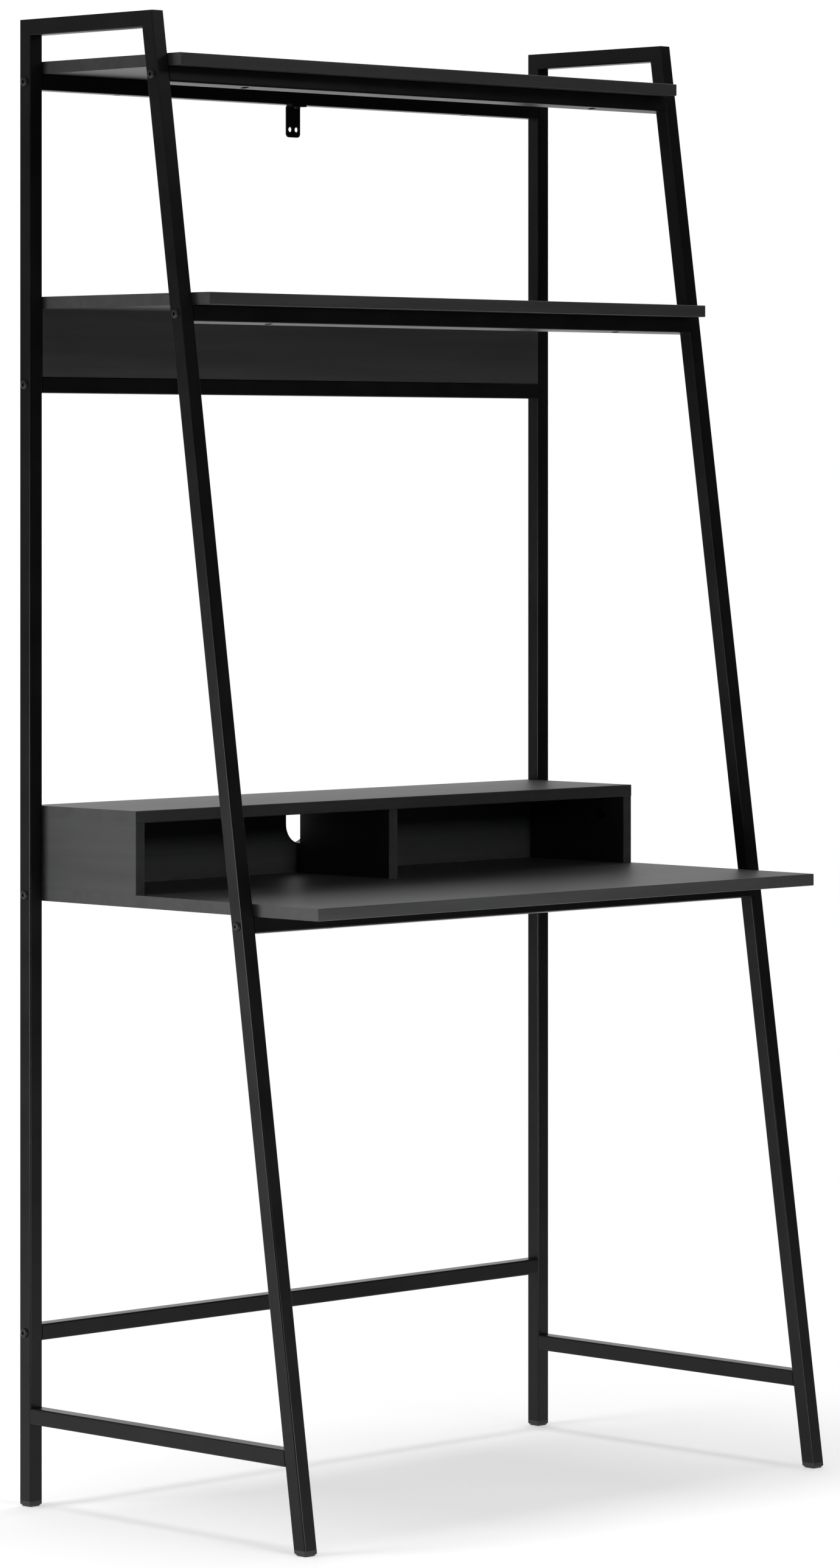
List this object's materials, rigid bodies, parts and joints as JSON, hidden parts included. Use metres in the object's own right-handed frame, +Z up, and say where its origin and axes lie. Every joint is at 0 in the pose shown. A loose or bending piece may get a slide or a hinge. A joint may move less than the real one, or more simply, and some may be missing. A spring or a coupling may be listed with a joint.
{
  "type": "ladder desk",
  "caption": "Leaning ladder desk: square-tube side frames joined by crossbars, a desk top with a low open hutch on it, and narrow shelves above.",
  "frame": {"origin": "on the floor, under the middle of the width and depth", "axes": "+Z up, +X to the right of a person who sits at the desk, +Y to the rear, where the wall is"},
  "size_m": [0.925, 0.5086, 1.8288],
  "materials": {
    "powder_coat": "satin black powder coat on steel tube",
    "black_board": "matte black laminate on particle board",
    "foot_plastic": "moulded black plastic",
    "bracket_steel": "satin black powder coat on steel strip",
    "black_bolt": "black plated steel",
    "zinc_steel": "bright zinc plate",
    "dowel_wood": "plain beech"
  },
  "bodies": {
    "root": {"left_rear_post": "powder_coat", "right_rear_post": "powder_coat", "left_front_post": "powder_coat", "right_front_post": "powder_coat", "left_top_bar": "powder_coat", "right_top_bar": "powder_coat", "left_lower_rail": "powder_coat", "right_lower_rail": "powder_coat", "top_front_crossbar": "powder_coat", "mid_front_crossbar": "powder_coat", "desk_front_crossbar": "powder_coat", "top_rear_crossbar": "powder_coat", "mid_rear_crossbar": "powder_coat", "low_rear_crossbar": "powder_coat", "top_shelf": "black_board", "mid_shelf": "black_board", "mid_back_panel": "black_board", "desk_top": "black_board", "hutch_top": "black_board", "hutch_left_side": "black_board", "hutch_right_side": "black_board", "hutch_divider": "black_board", "hutch_back_panel": "black_board", "rear_feet": "foot_plastic", "front_feet": "foot_plastic", "wall_bracket": "bracket_steel", "frame_bolts": "black_bolt", "crossbar_nut_plugs": "zinc_steel", "insert_nuts": "zinc_steel", "board_screws": "black_bolt", "bracket_screw": "black_bolt", "hutch_screws": "zinc_steel", "cam_bolts": "zinc_steel", "cam_discs": "black_bolt", "dowels": "dowel_wood"}
  },
  "joints": []
}
